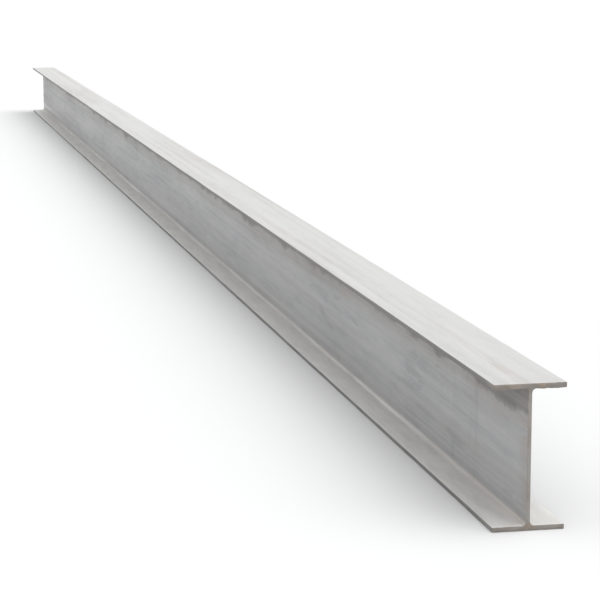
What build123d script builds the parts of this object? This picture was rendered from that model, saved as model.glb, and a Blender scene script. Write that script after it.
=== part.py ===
"""Hot-rolled steel H-beam: one length of mill stock with both ends sawn square.

Millimetres, +Z up. The beam lies along Y on its lower flange with the web upright, and the
origin is at the middle of the lower flange's underside.
"""

import os

from build123d import *

# Driving dimensions of the rolled section, and the length that the stock is cut to.
depth = 250.0
flange_width = 125.0
web_thickness = 6.0
flange_thickness = 9.0
root_radius = 8.0
toe_radius = 1.5
length = 9000.0

# A toe has two arrises on one flange edge, so their rounding stays under half of that edge.
largest_toe_share = 0.45


def rolled_section():
    """The H in its own plane: X across the flanges, Y up the web from the lower flange's underside."""
    flange_middles = [(0, flange_thickness / 2), (0, depth - flange_thickness / 2)]
    clear_depth = depth - 2 * flange_thickness
    with BuildSketch() as section:
        with Locations(*flange_middles):
            Rectangle(flange_width, flange_thickness)
        with Locations((0, depth / 2)):
            Rectangle(web_thickness, clear_depth)
        across = section.vertices().group_by(Axis.X)
        fillet(across[0] + across[-1], min(toe_radius, largest_toe_share * flange_thickness))
        roots = section.vertices().filter_by_position(Axis.X, -web_thickness / 2, web_thickness / 2)
        fillet(roots, root_radius)
    return section.sketch


def h_beam():
    """The section carried half of the length each way along Y."""
    beam = extrude(Plane.XZ * rolled_section(), amount=length / 2, both=True)
    beam.label = "h_beam"
    return beam


os.makedirs("parts", exist_ok=True)
export_step(h_beam(), "parts/h_beam.step")
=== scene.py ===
"""A length of hot-rolled steel H-beam in its mill finish, lying on a pale studio floor.

Metres, +Z up. The beam lies along Y on its lower flange, and the origin is under the middle of it.
"""

import math

import bmesh
import bpy
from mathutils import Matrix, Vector
from mathutils.kdtree import KDTree


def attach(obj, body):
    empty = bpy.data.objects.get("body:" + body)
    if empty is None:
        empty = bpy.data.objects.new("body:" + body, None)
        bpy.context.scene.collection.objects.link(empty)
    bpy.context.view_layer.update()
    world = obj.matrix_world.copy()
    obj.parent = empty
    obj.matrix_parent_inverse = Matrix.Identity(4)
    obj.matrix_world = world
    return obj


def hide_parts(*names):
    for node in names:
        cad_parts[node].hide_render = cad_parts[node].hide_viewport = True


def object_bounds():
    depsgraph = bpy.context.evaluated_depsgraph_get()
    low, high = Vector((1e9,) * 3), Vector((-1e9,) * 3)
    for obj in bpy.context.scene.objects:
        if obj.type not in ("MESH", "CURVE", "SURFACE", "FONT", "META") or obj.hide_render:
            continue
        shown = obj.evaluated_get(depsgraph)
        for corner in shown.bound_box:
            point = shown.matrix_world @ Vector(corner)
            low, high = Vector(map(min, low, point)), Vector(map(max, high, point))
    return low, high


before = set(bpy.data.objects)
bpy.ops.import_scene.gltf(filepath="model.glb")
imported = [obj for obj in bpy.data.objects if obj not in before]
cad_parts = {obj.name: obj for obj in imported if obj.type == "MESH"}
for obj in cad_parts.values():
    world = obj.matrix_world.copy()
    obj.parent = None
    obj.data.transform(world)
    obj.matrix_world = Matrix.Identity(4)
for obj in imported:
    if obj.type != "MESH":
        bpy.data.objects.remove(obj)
cad_low, cad_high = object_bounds()

# The rolled section: the overall sizes come from the solid, and the walls and radii are the section's own.
flange_width = cad_high.x - cad_low.x
length = cad_high.y - cad_low.y
depth = cad_high.z - cad_low.z
web_thickness = 0.006
flange_thickness = 0.009
root_radius = 0.008
toe_radius = 0.0015
half_width = flange_width / 2
half_length = length / 2
half_web = web_thickness / 2
upper_flange_underside = depth - flange_thickness

# How finely the roundings, the section and the length are divided.
root_segments = 8
toe_segments = 4
section_step = 0.004
ring_step = 0.05
rings_near_a_cut = (0.0007, 0.0018, 0.004, 0.009, 0.02, 0.045, 0.1)

# Two places within near count as one, and a face with this much of an axis in its normal is square to it.
near = 1e-5
squarely = 0.9

# The saw's burr, and the small unevenness that rolling and handling leave. Clouds give the size of a bump.
burr_reach = 0.0036
burr_run = 0.003
burr_fade = 0.012
burr_rest = 0.3
burr_clouds = 0.011
cut_rim = 0.001
arris_wear = 0.0007
wear_clouds = 0.008
toe_wave = 0.0014
toe_wave_run = 0.004
toe_wave_clouds = 0.11

# The beam's unrolled map: a row for each half of the length, and a sawn end at the end of its row.
row_height = 0.47
row_gap = 0.02
strip_width = 0.885
sawn_map_start = 0.905
sawn_map_width = 0.09
crowding = 0.75
hidden_share = 0.35

# Colours of the finishes, as shares of the light that they send back.
pale_scale = (0.375, 0.376, 0.378)
blue_scale = (0.236, 0.239, 0.246)
pale_dust = (0.372, 0.368, 0.358)
brown_film = (0.255, 0.222, 0.192)
rust = (0.15, 0.098, 0.066)
# Dark scale on what faces down, darkened further as painted shade.
dark_scale_and_painted_shade = (0.092, 0.084, 0.079)
rubbed_steel = (0.45, 0.45, 0.45)
toe_grey = (0.110, 0.105, 0.099)
# The stained band below the upper flange, darkened past its own colour as painted shade.
stain_and_painted_shade = (0.098, 0.089, 0.082)
# The ledges' dust, paler than dust alone as painted light against the flange's shade.
ledge_dust_and_painted_light = (0.56, 0.55, 0.53)
sawn_steel = (0.240, 0.229, 0.215)
sawn_brown = (0.168, 0.147, 0.130)
cut_rust = (0.275, 0.205, 0.150)
floor_grey = (0.46, 0.46, 0.46)
dome_white = (0.99, 0.995, 1.0)

# Bands that the straightening rolls rubbed, as distances from mid-depth.
band_start = 0.082
band_end = 0.093
band_edge = 0.006

# The stained band and its brown halo, as distances below the upper flange; the band is also painted shade.
stain_and_painted_shade_full = 0.036
stain_and_painted_shade_foot = 0.052
halo_foot = 0.085
stain_and_painted_shade_raggedness = 0.085

# Water runs, rust bloom and scorched line: how far in from an end each begins, and where it is full.
runs_reach = 1.5
runs_full = 0.1
bloom_reach = 0.07
bloom_full = 0.003
scorch_reach = 0.006
scorch_full = 0.0005

# The dark of the toes and the rubbed arrises beside them, as distances in from a flange's edge.
toe_dark = 0.0012
toe_darkest = 0.0003
arris_inside = 0.0018
arris_rubbed = 0.0011

# The saw: the middle of its blade, how close its arcs are, and how far the flanges' browner bloom spreads.
blade_middle = (-0.75, 0.0, -0.4)
arcs_per_metre = 620.0
flange_bloom_run = 0.012

# The studio: its floor, the lamp, the dome's brightness from the horizon to overhead, and the camera.
floor_size = 200
lamp_from = Vector((0.38, -0.26, 0.88))
lamp_strength = 2.4
lamp_spread_degrees = 65
dome_ramp = (0.25, 2.15)
dome_least = 1.0
camera_place = (-1.07, -7.75, 0.965)
camera_aim = Vector((0.129, -2.045, -0.023))
camera_lens = 127
camera_sensor = 36
camera_sees_to = 400


def choose(piece, kind, wanted):
    """In edit mode, selects just those faces or edges of the piece that wanted says yes to."""
    bpy.ops.mesh.select_mode(type=kind)
    bpy.ops.mesh.select_all(action="DESELECT")
    shape = bmesh.from_edit_mesh(piece.data)
    items = shape.faces if kind == "FACE" else shape.edges
    for item in items:
        if wanted(item):
            item.select_set(True)
    shape.select_flush_mode()
    bmesh.update_edit_mesh(piece.data)


def slice_by_planes(normal, places):
    """Cuts the mesh being edited right through by planes square to one axis."""
    for place in places:
        bpy.ops.mesh.select_all(action="SELECT")
        bpy.ops.mesh.bisect(plane_co=[share * place for share in normal], plane_no=normal)


def even_places(start, end, step):
    """Places between two ends, about a step apart, without the ends themselves."""
    count = max(1, round((end - start) / step))
    return [start + (end - start) * number / count for number in range(1, count)]


def runs_along(edge):
    """True for an edge that runs lengthwise."""
    first, second = (vert.co for vert in edge.verts)
    return abs(first.y - second.y) > near and (first - second).xz.length < near


def is_sawn(face):
    """True for a face of either sawn end."""
    return abs(face.normal.y) > squarely


def rolled_section_solid():
    """The H at full length: a web plate with its flanges drawn out sideways, roots and toes rounded."""
    bpy.ops.object.select_all(action="DESELECT")
    plate = (web_thickness, length, depth)
    bpy.ops.mesh.primitive_cube_add(size=1, location=(0, 0, depth / 2), scale=plate)
    piece = bpy.context.active_object
    piece.name = "rolled_beam"
    bpy.ops.object.transform_apply(location=True, rotation=True, scale=True)
    bpy.ops.object.mode_set(mode="EDIT")
    slice_by_planes((0, 0, 1), (flange_thickness, upper_flange_underside))

    def flange_side(face):
        height = face.calc_center_median().z
        return abs(face.normal.x) > squarely and not flange_thickness < height < upper_flange_underside

    choose(piece, "FACE", flange_side)
    bpy.ops.mesh.extrude_region_move(TRANSFORM_OT_translate={"value": (0, 0, 0)})
    bpy.ops.transform.resize(value=(half_width / half_web, 1, 1), center_override=(0, 0, 0))

    def root(edge):
        at = edge.verts[0].co
        inside = near < at.z < depth - near
        return runs_along(edge) and inside and abs(abs(at.x) - half_web) < near

    def toe(edge):
        return runs_along(edge) and abs(abs(edge.verts[0].co.x) - half_width) < near

    choose(piece, "EDGE", root)
    bpy.ops.mesh.bevel(offset=root_radius, segments=root_segments, profile=0.5, affect="EDGES")
    choose(piece, "EDGE", toe)
    bpy.ops.mesh.bevel(offset=toe_radius, segments=toe_segments, profile=0.5, affect="EDGES")
    choose(piece, "FACE", is_sawn)
    bpy.ops.mesh.dissolve_faces()

    def left_over(edge):
        at = edge.verts[0].co
        outside = at.z < near or at.z > depth - near
        return runs_along(edge) and outside and abs(abs(at.x) - half_web) < near

    choose(piece, "EDGE", left_over)
    bpy.ops.mesh.dissolve_edges(use_verts=True)
    choose(piece, "FACE", is_sawn)
    bpy.ops.mesh.inset(thickness=cut_rim)
    return piece


def divide(piece):
    """Cuts the section into small cells and the length into rings, closer together by the sawn ends."""
    across_flange = even_places(-half_width + toe_radius, half_width - toe_radius, section_step)
    up_web = even_places(flange_thickness, upper_flange_underside, section_step)
    slice_by_planes((1, 0, 0), across_flange)
    slice_by_planes((0, 0, 1), [flange_thickness / 2, *up_web, depth - flange_thickness / 2])
    for end in (-1, 1):
        slice_by_planes((0, 1, 0), [end * (half_length - ring) for ring in rings_near_a_cut])
    slice_by_planes((0, 1, 0), (0,))
    half_middle = half_length - rings_near_a_cut[-1]
    choose(piece, "EDGE", lambda edge: runs_along(edge) and edge.calc_length() > half_middle / 2)
    bpy.ops.mesh.subdivide(number_cuts=round(half_middle / ring_step) - 1)


def way_round(shape):
    """Places on the section at mid-length, each with its distance round the outline from the underside."""
    ring = {vert for vert in shape.verts if abs(vert.co.y) < near}
    start = min((vert for vert in ring if vert.co.z < near), key=lambda vert: abs(vert.co.x))
    way = []
    distance = 0.0
    before = None
    here = start
    while here is not start or before is None:
        way.append((here.co.copy(), distance))
        following = [edge.other_vert(here) for edge in here.link_edges]
        ahead = next(vert for vert in following if vert in ring and vert is not before)
        step = (ahead.co - here.co).length
        hidden = here.co.z < near and ahead.co.z < near
        distance += step * hidden_share if hidden else step
        before = here
        here = ahead
    return way, distance


def unrolled_map(piece):
    """Lays the rolled skin out flat in a map named OFBake, with more room for what is close to a cut."""
    shape = bmesh.new()
    shape.from_mesh(piece.data)
    way, whole_way = way_round(shape)
    outline = KDTree(len(way))
    for number, (place, distance) in enumerate(way):
        outline.insert((place.x, 0, place.z), number)
    outline.balance()
    half_way = whole_way / 2
    laid_out = shape.loops.layers.uv.new("OFBake")
    for face in shape.faces:
        row_start = row_gap / 2 if face.calc_center_median().y < 0 else row_gap * 1.5 + row_height
        if is_sawn(face):
            for corner in face.loops:
                across = sawn_map_start + sawn_map_width * (corner.vert.co.x / flange_width + 0.5)
                upward = row_start + row_height * (corner.vert.co.z / depth)
                corner[laid_out].uv = (across, upward)
            continue
        places = [corner.vert.co for corner in face.loops]
        round_it = [way[outline.find((place.x, 0, place.z))[1]][1] for place in places]
        if max(round_it) - min(round_it) > half_way:
            round_it = [distance + whole_way if distance < half_way else distance for distance in round_it]
        for corner, place, distance in zip(face.loops, places, round_it):
            from_cut = (half_length - abs(place.y)) / half_length
            along = strip_width * max(0.0, from_cut) ** crowding
            corner[laid_out].uv = (along, row_start + row_height * distance / whole_way)
    shape.to_mesh(piece.data)
    shape.free()


def weigh(piece, name, share_of):
    """Makes a vertex group in which each vert has the share that share_of gives it."""
    group = piece.vertex_groups.new(name=name)
    for vert in piece.data.vertices:
        share = share_of(vert)
        if share > 0:
            group.add([vert.index], share, "REPLACE")


def roughen(piece, name, cloud_size, reach, rest_level, direction="NORMAL"):
    """Pushes the verts of a group in and out by clouds."""
    cloud = bpy.data.textures.new(name, "CLOUDS")
    cloud.noise_scale = cloud_size
    push = piece.modifiers.new(name, "DISPLACE")
    push.texture = cloud
    push.texture_coords = "LOCAL"
    push.vertex_group = name
    push.direction = direction
    push.strength = reach
    push.mid_level = rest_level
    bpy.ops.object.modifier_apply(modifier=name)


def arris_verts(piece):
    """Numbers of the verts where the rolled skin meets a cut."""
    shape = bmesh.new()
    shape.from_mesh(piece.data)
    numbers = set()
    for edge in shape.edges:
        finishes = {face.material_index for face in edge.link_faces}
        if len(finishes) == 2:
            numbers.update(vert.index for vert in edge.verts)
    shape.free()
    return numbers


def wave_of_the_toes(vert):
    """One at a flange's edge, falling to nought a short way in."""
    return max(0.0, 1 - (half_width - abs(vert.co.x)) / toe_wave_run)


def by_a_cut(place):
    """One at a sawn end, falling to nought a short way along the beam."""
    return max(0.0, 1 - (half_length - abs(place.y)) / burr_run)


def well_between(start, end, where):
    """One between two bounds, falling to nought at each of them."""
    return max(0.0, min(1.0, (where - start) / burr_fade, (end - where) / burr_fade))


def burr_on_the_web(vert):
    """The blade left the web on its left face, so the burr hangs there."""
    place = vert.co
    if abs(place.x + half_web) > near:
        return 0.0
    root_end = flange_thickness + root_radius
    return by_a_cut(place) * well_between(root_end, depth - root_end, place.z)


def burr_under_the_flange(vert):
    """The blade left the upper flange on its underside."""
    place = vert.co
    if abs(place.z - upper_flange_underside) > near:
        return 0.0
    root_end = half_web + root_radius
    return by_a_cut(place) * well_between(root_end, half_width - toe_radius, abs(place.x))


class Finish:
    """A finish in the making: its shader, where a point is and faces, and calls for its patterns."""

    def __init__(self, name):
        self.material = bpy.data.materials.new(name)
        self.material.use_nodes = True
        self.tree = self.material.node_tree
        self.shader = self.tree.nodes["Principled BSDF"]
        point = self.add("ShaderNodeTexCoord")
        self.place = point.outputs["Object"]
        self.x, self.y, self.z = self.add("ShaderNodeSeparateXYZ", Vector=self.place).outputs
        facing = self.add("ShaderNodeSeparateXYZ", Vector=point.outputs["Normal"])
        self.up = facing.outputs["Z"]

    def add(self, kind, settings=(), **given):
        """A new node, its settings, and its inputs by name, each a socket to link or a fixed value."""
        made = self.tree.nodes.new(kind)
        for name, value in dict(settings).items():
            setattr(made, name, value)
        for name, value in given.items():
            self.feed(made.inputs[name], value)
        return made

    def feed(self, socket, value):
        """Links another socket to this one, or sets it to a fixed value."""
        if isinstance(value, bpy.types.NodeSocket):
            self.tree.links.new(value, socket)
        else:
            socket.default_value = value

    def maths(self, operation, first, second=0.0):
        """One sum on masks or numbers."""
        made = self.add("ShaderNodeMath", {"operation": operation})
        self.feed(made.inputs[0], first)
        self.feed(made.inputs[1], second)
        return made.outputs[0]

    def times(self, *values):
        """The product of several masks or numbers."""
        product = values[0]
        for value in values[1:]:
            product = self.maths("MULTIPLY", product, value)
        return product

    def plus(self, *values):
        """Several masks or numbers added up."""
        total = values[0]
        for value in values[1:]:
            total = self.maths("ADD", total, value)
        return total

    def away(self, value):
        """Distance either side of nought."""
        return self.maths("ABSOLUTE", value)

    def fade(self, value, start, end, low=0.0, high=1.0):
        """A soft step from low to high as the value goes from start to end."""
        made = self.add("ShaderNodeMapRange", {"interpolation_type": "SMOOTHSTEP"}, Value=value)
        for name, number in (("From Min", start), ("From Max", end), ("To Min", low), ("To Max", high)):
            made.inputs[name].default_value = number
        return made.outputs["Result"]

    def grain(self, per_metre, detail=3.0, roughness=0.55, shift=(0.0, 0.0, 0.0)):
        """Cloudy variation about a half, with so many clouds to the metre along X, Y and Z."""
        where = self.add("ShaderNodeMapping", Vector=self.place, Scale=per_metre, Location=shift)
        cloud = self.add("ShaderNodeTexNoise", Vector=where.outputs["Vector"], Scale=1.0)
        cloud.inputs["Detail"].default_value = detail
        cloud.inputs["Roughness"].default_value = roughness
        return cloud.outputs["Fac"]

    def marks(self, size, turn, shift):
        """Cloudy variation about a half in clouds of a size in metres, turned by angles in degrees."""
        angles = [math.radians(angle) for angle in turn]
        where = self.add("ShaderNodeMapping", {"vector_type": "TEXTURE"}, Vector=self.place, Scale=size)
        where.inputs["Rotation"].default_value = angles
        where.inputs["Location"].default_value = shift
        cloud = self.add("ShaderNodeTexNoise", Vector=where.outputs["Vector"], Scale=1.0, Detail=1.0)
        return cloud.outputs["Fac"]

    def swing(self, value, amount):
        """A pattern about a half turned into one about nought, so many times as strong."""
        return self.times(self.maths("SUBTRACT", value, 0.5), amount)

    def tint(self, under, over, share):
        """One colour laid over another by a share."""
        made = self.add("ShaderNodeMix", {"data_type": "RGBA"})
        self.feed(made.inputs["Factor"], share)
        colours = [socket for socket in made.inputs if socket.type == "RGBA"]
        for socket, colour in zip(colours, (under, over)):
            self.feed(socket, colour if isinstance(colour, bpy.types.NodeSocket) else (*colour, 1.0))
        return next(socket for socket in made.outputs if socket.type == "RGBA")

    def relief(self, height, depth_of_relief, strength):
        """Fine bumps of a depth in metres."""
        made = self.add("ShaderNodeBump", Height=height, Strength=strength, Distance=depth_of_relief)
        self.feed(self.shader.inputs["Normal"], made.outputs["Normal"])


class MillScale(Finish):
    """The rolled skin: its patterns, the sides of the beam that differ, and the coats laid on in turn."""

    def __init__(self):
        super().__init__("mill_scale")
        self.clouds = self.grain((12, 1.5, 12), 5, 0.58, shift=(4, 2, 7))
        self.streaks = self.grain((120, 1.0, 120), 4, 0.62)
        self.broad_streaks = self.grain((45, 0.8, 45), 3, 0.5, shift=(3, 8, 6))
        self.fine_streaks = self.grain((420, 9.0, 420), 2, 0.6, shift=(7, 3, 5))
        self.mottle = self.grain((60, 9, 60), 5, 0.6, shift=(2, 9, 4))
        self.freckles = self.grain((330, 240, 330), 2, 0.5, shift=(5, 1, 8))
        self.beside_web = self.away(self.x)
        self.from_middle = self.away(self.y)
        self.facing_up = self.fade(self.up, 0.35, 0.9)
        self.facing_down = self.fade(self.up, -0.35, -0.9)
        self.facing_aside = self.maths("SUBTRACT", 1.0, self.plus(self.facing_up, self.facing_down))

    def lay(self, colour, share):
        """Another coat over what is there so far."""
        self.colour = self.tint(self.colour, colour, share)

    def rolled_scale(self):
        """Soft clouds and lengthwise streaks, with darker patches where a thicker scale still holds."""
        streak_share = self.fade(self.facing_up, 0.0, 1.0, 0.6, 0.4)
        broad_share = self.fade(self.facing_up, 0.0, 1.0, 0.55, 0.75)
        self.fine_share = self.fade(self.facing_up, 0.0, 1.0, 0.3, 0.08)
        self.tone = self.plus(
            0.6,
            self.swing(self.clouds, 0.7),
            self.times(self.swing(self.streaks, 1.0), streak_share),
            self.times(self.swing(self.broad_streaks, 1.0), broad_share),
            self.times(self.swing(self.fine_streaks, 1.0), self.fine_share),
            self.swing(self.mottle, 0.5),
            self.swing(self.freckles, 0.3),
        )
        self.colour = self.tint(blue_scale, pale_scale, self.fade(self.tone, 0.0, 1.0))
        flakes = self.grain((30, 6, 30), 7, 0.62, shift=(8, 5, 1))
        self.thick = self.times(self.fade(flakes, 0.57, 0.585), self.fade(self.clouds, 0.58, 0.44))
        self.lay(blue_scale, self.times(self.thick, 0.5))

    def web_marks(self):
        """Bands rubbed by the straightening rolls, water runs, and below the flange a stained band, also
        painted shade, with a halo.
        """
        from_mid_depth = self.away(self.maths("SUBTRACT", self.z, depth / 2))
        self.band = self.times(
            self.facing_aside,
            self.fade(from_mid_depth, band_start - band_edge, band_start),
            self.fade(from_mid_depth, band_end + band_edge, band_end),
            self.fade(self.streaks, 0.3, 0.6),
        )
        self.lay(rubbed_steel, self.times(self.band, 0.2))
        runs = self.grain((1, 13, 2.2), 4, 0.6, shift=(3, 6, 1))
        by_the_ends = self.fade(self.from_middle, half_length - runs_reach, half_length - runs_full, 0.1)
        run_marks = self.times(self.facing_aside, by_the_ends, self.fade(runs, 0.53, 0.72))
        self.lay(blue_scale, self.times(run_marks, 0.65))
        ragged = self.grain((20, 5, 9), 7, 0.64, shift=(6, 1, 3))
        height = self.plus(self.z, self.swing(ragged, stain_and_painted_shade_raggedness))
        flange = upper_flange_underside
        halo = self.times(self.facing_aside, self.fade(height, flange - halo_foot, flange - stain_and_painted_shade_foot))
        self.lay(brown_film, self.times(halo, self.fade(self.mottle, 0.3, 0.7, 0.2, 0.5)))
        # The band below the upper flange is stained, and darkened further as painted shade.
        stain_and_painted_shade_share = self.times(self.facing_aside, self.fade(height, flange - stain_and_painted_shade_foot, flange - stain_and_painted_shade_full))
        self.lay(stain_and_painted_shade, self.times(stain_and_painted_shade_share, self.fade(self.mottle, 0.3, 0.7, 0.72, 0.95)))

    def dust_and_film(self):
        """Pale dust on what faces up, streaks of a brown film, ledges paled by dust and painted light, and
        brown lower roots.
        """
        self.lay(pale_dust, self.times(self.facing_up, self.fade(self.tone, 0.1, 1.0, 0.45, 0.9)))
        film_streaks = self.grain((40, 0.6, 40), 3, 0.5, shift=(9, 4, 2))
        film = self.times(self.fade(film_streaks, 0.48, 0.66), self.fade(self.mottle, 0.3, 0.6))
        self.lay(brown_film, self.times(film, self.fade(self.up, -0.2, 0.9, 0.2, 0.36)))
        # The ledges are paler than their dust alone would make them: painted light.
        on_a_ledge = self.times(self.facing_up, self.fade(self.z, flange_thickness * 3, flange_thickness))
        self.lay(ledge_dust_and_painted_light, self.times(on_a_ledge, self.fade(self.mottle, 0.25, 0.7, 0.45, 0.85)))
        in_a_lower_root = self.times(
            self.fade(self.beside_web, half_web + root_radius, half_web + root_radius / 2),
            self.fade(self.z, flange_thickness + root_radius * 1.6, flange_thickness + root_radius * 0.4),
            self.fade(self.streaks, 0.3, 0.6),
        )
        self.lay(brown_film, self.times(in_a_lower_root, 0.5))

    def dark_undersides_and_toes(self):
        """Dark scale and painted shade on what faces down, and dark grey toes."""
        self.lay(dark_scale_and_painted_shade, self.times(self.facing_down, self.fade(self.tone, 0.0, 1.0, 0.95, 0.75)))
        toe = self.fade(self.beside_web, half_width - toe_dark, half_width - toe_darkest)
        self.lay(toe_grey, self.times(toe, self.fade(self.mottle, 0.3, 0.7, 0.6, 1.0)))

    def rust_by_the_cuts(self):
        """A brown bloom by the ends, a scorched line at the very edge, and scattered spots all over."""
        bloom = self.times(
            self.fade(self.from_middle, half_length - bloom_reach, half_length - bloom_full),
            self.fade(self.mottle, 0.38, 0.62),
            self.fade(self.facing_up, 0.0, 1.0, 0.55, 0.25),
        )
        self.lay(brown_film, bloom)
        scorch = self.times(
            self.fade(self.from_middle, half_length - scorch_reach, half_length - scorch_full),
            self.fade(self.facing_up, 0.0, 1.0, 0.4, 0.0),
        )
        self.lay(rust, scorch)
        spots = self.times(self.fade(self.freckles, 0.64, 0.72), self.fade(self.mottle, 0.5, 0.62))
        self.lay(rust, self.times(spots, 0.55))

    def rubbing(self):
        """Arrises rubbed pale by handling, and a few fine scratches on the web and the flanges."""
        arris = self.times(
            self.fade(self.beside_web, half_width - arris_inside, half_width - arris_rubbed),
            self.fade(self.up, 0.2, 0.5),
            self.fade(self.streaks, 0.35, 0.6),
        )
        self.lay(rubbed_steel, self.times(arris, 0.6))
        rising = self.marks((1.0, 0.11, 0.0016), (14, 0, 0), (0.3, 0.7, 0.1))
        falling = self.marks((1.0, 0.08, 0.0016), (-31, 0, 0), (0.6, 0.2, 0.9))
        slanting = self.marks((0.0017, 0.16, 1.0), (0, 0, 7), (0.2, 0.4, 0.8))
        self.lay(rubbed_steel, self.times(self.facing_aside, self.fade(rising, 0.72, 0.79), 0.4))
        self.lay(rubbed_steel, self.times(self.facing_aside, self.fade(falling, 0.73, 0.80), 0.4))
        self.lay(rubbed_steel, self.times(self.facing_up, self.fade(slanting, 0.70, 0.78), 0.4))

    def sheen_and_relief(self):
        """Duller on top and where the scale is dark, smoother in the rubbed bands, with fine bumps."""
        self.feed(self.shader.inputs["Base Color"], self.colour)
        rough = self.plus(
            0.46,
            self.swing(self.tone, -0.2),
            self.times(self.facing_up, 0.14),
            self.times(self.band, -0.08),
        )
        self.feed(self.shader.inputs["Roughness"], rough)
        self.shader.inputs["Metallic"].default_value = 0.4
        height = self.plus(
            self.times(self.fine_streaks, self.fine_share),
            self.times(self.freckles, 0.5),
            self.times(self.mottle, 0.8),
            self.times(self.thick, 0.35),
        )
        self.relief(height, 0.0005, 0.6)


def mill_scale():
    """Grey rolling scale in soft clouds and streaks, dusted on top, brown and dark where it faces down,
    that dark partly painted shade.
    """
    skin = MillScale()
    skin.rolled_scale()
    skin.web_marks()
    skin.dust_and_film()
    skin.dark_undersides_and_toes()
    skin.rust_by_the_cuts()
    skin.rubbing()
    skin.sheen_and_relief()
    return skin.material


def sawn_end():
    """Hot-sawn steel: faint arcs from the blade under a thin grey-brown bloom, browner on the flanges."""
    face = Finish("sawn_end")
    from_blade = face.add("ShaderNodeMapping", Vector=face.place, Scale=(1, 0, 1))
    from_blade.inputs["Location"].default_value = [-part for part in blade_middle]
    reach = face.add("ShaderNodeVectorMath", {"operation": "LENGTH"}, Vector=from_blade.outputs["Vector"])
    arcs = face.add("ShaderNodeTexNoise", {"noise_dimensions": "1D"}, W=reach.outputs["Value"])
    arcs.inputs["Scale"].default_value = arcs_per_metre
    arcs.inputs["Detail"].default_value = 4.0
    arcs.inputs["Roughness"].default_value = 0.65
    saw_marks = arcs.outputs["Fac"]
    bloom = face.grain((30, 1, 30), 5, 0.6, shift=(1, 2, 3))
    grit = face.grain((600, 1, 600), 2, 0.5)
    from_mid_depth = face.away(face.maths("SUBTRACT", face.z, depth / 2))
    flange_start = depth / 2 - flange_thickness
    on_a_flange = face.fade(from_mid_depth, flange_start - flange_bloom_run, flange_start)
    tone = face.plus(
        0.78,
        face.swing(bloom, 1.5),
        face.swing(grit, 0.4),
        face.swing(saw_marks, 0.5),
        face.times(on_a_flange, -0.36),
    )
    bloomed = face.tint(sawn_brown, sawn_steel, face.fade(tone, 0.0, 1.0))
    rusty = face.grain((45, 1, 70), 5, 0.62, shift=(5, 3, 9))
    rust_share = face.times(face.fade(rusty, 0.50, 0.64), face.fade(on_a_flange, 0.0, 1.0, 0.3, 0.6))
    colour = face.tint(bloomed, cut_rust, rust_share)
    face.feed(face.shader.inputs["Base Color"], colour)
    face.feed(face.shader.inputs["Roughness"], face.fade(tone, 0.0, 1.0, 0.7, 0.48))
    face.shader.inputs["Metallic"].default_value = 0.25
    face.relief(face.plus(saw_marks, face.times(grit, 0.8)), 0.0004, 0.8)
    return face.material


def rolled_beam():
    """The dressed beam, with its rolled skin and its two sawn ends."""
    piece = rolled_section_solid()
    divide(piece)
    bpy.ops.object.mode_set(mode="OBJECT")
    piece.data.materials.append(mill_scale())
    piece.data.materials.append(sawn_end())
    bpy.ops.object.mode_set(mode="EDIT")
    choose(piece, "FACE", is_sawn)
    piece.active_material_index = 1
    bpy.ops.object.material_slot_assign()
    bpy.ops.object.mode_set(mode="OBJECT")
    unrolled_map(piece)
    arrises = arris_verts(piece)
    weigh(piece, "toe_wave", wave_of_the_toes)
    weigh(piece, "arris_wear", lambda vert: 1.0 if vert.index in arrises else 0.0)
    weigh(piece, "web_burr", burr_on_the_web)
    weigh(piece, "flange_burr", burr_under_the_flange)
    roughen(piece, "toe_wave", toe_wave_clouds, toe_wave, 0.5, "X")
    roughen(piece, "arris_wear", wear_clouds, -arris_wear, 0.0)
    roughen(piece, "web_burr", burr_clouds, -burr_reach, burr_rest, "X")
    roughen(piece, "flange_burr", burr_clouds, -burr_reach, burr_rest, "Z")
    bpy.ops.object.shade_smooth_by_angle(angle=math.radians(40))
    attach(piece, "root")
    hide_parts("h_beam")


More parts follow.
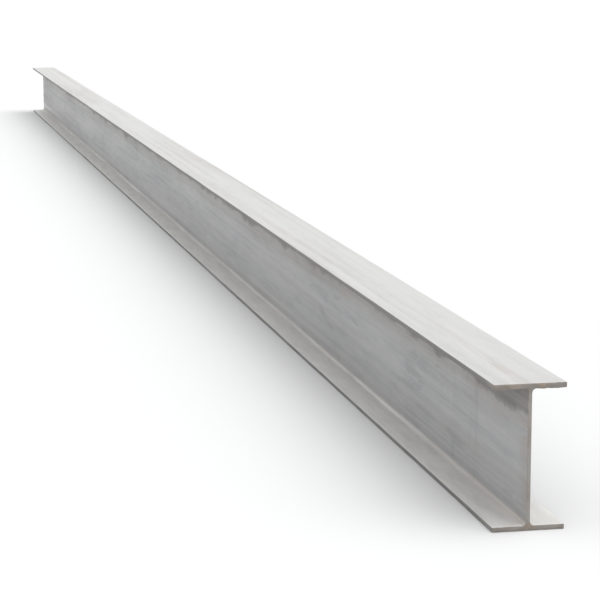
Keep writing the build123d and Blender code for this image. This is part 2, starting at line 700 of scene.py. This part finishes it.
def pale_floor():
    """A wide matt floor that the beam lies on."""
    bpy.ops.mesh.primitive_plane_add(size=floor_size, location=(0, 0, cad_low.z))
    floor = bpy.context.active_object
    floor.name = "floor"
    paint = bpy.data.materials.new("pale_floor")
    paint.use_nodes = True
    shader = paint.node_tree.nodes["Principled BSDF"]
    shader.inputs["Base Color"].default_value = (*floor_grey, 1)
    shader.inputs["Roughness"].default_value = 0.95
    shader.inputs["Specular IOR Level"].default_value = 0.1
    floor.data.materials.append(paint)


def studio_light():
    """Soft light from a white dome that is brightest overhead, and a broad lamp high on the right."""
    bpy.ops.object.light_add(type="SUN")
    lamp = bpy.context.active_object
    lamp.data.energy = lamp_strength
    lamp.data.angle = math.radians(lamp_spread_degrees)
    lamp.rotation_euler = lamp_from.to_track_quat("Z", "Y").to_euler()
    world = bpy.data.worlds.new("studio")
    bpy.context.scene.world = world
    world.use_nodes = True
    tree = world.node_tree
    direction = tree.nodes.new("ShaderNodeTexCoord")
    apart = tree.nodes.new("ShaderNodeSeparateXYZ")
    tree.links.new(direction.outputs["Generated"], apart.inputs["Vector"])
    rising = tree.nodes.new("ShaderNodeMapRange")
    tree.links.new(apart.outputs["Z"], rising.inputs["Value"])
    for name, number in zip(("To Min", "To Max"), dome_ramp):
        rising.inputs[name].default_value = number
    pale_horizon = tree.nodes.new("ShaderNodeMath")
    pale_horizon.operation = "MAXIMUM"
    pale_horizon.inputs[1].default_value = dome_least
    tree.links.new(rising.outputs["Result"], pale_horizon.inputs[0])
    dome = tree.nodes["Background"]
    dome.inputs["Color"].default_value = (*dome_white, 1)
    tree.links.new(pale_horizon.outputs["Value"], dome.inputs["Strength"])


def camera():
    """A long lens, above and to the left of the near end."""
    bpy.ops.object.camera_add(location=camera_place)
    viewer = bpy.context.active_object
    viewer.rotation_euler = (camera_aim - viewer.location).to_track_quat("-Z", "Y").to_euler()
    viewer.data.sensor_width = camera_sensor
    viewer.data.lens = camera_lens
    viewer.data.clip_end = camera_sees_to
    bpy.context.scene.camera = viewer


rolled_beam()
pale_floor()
studio_light()
camera()
bpy.context.scene.view_settings.view_transform = "Standard"
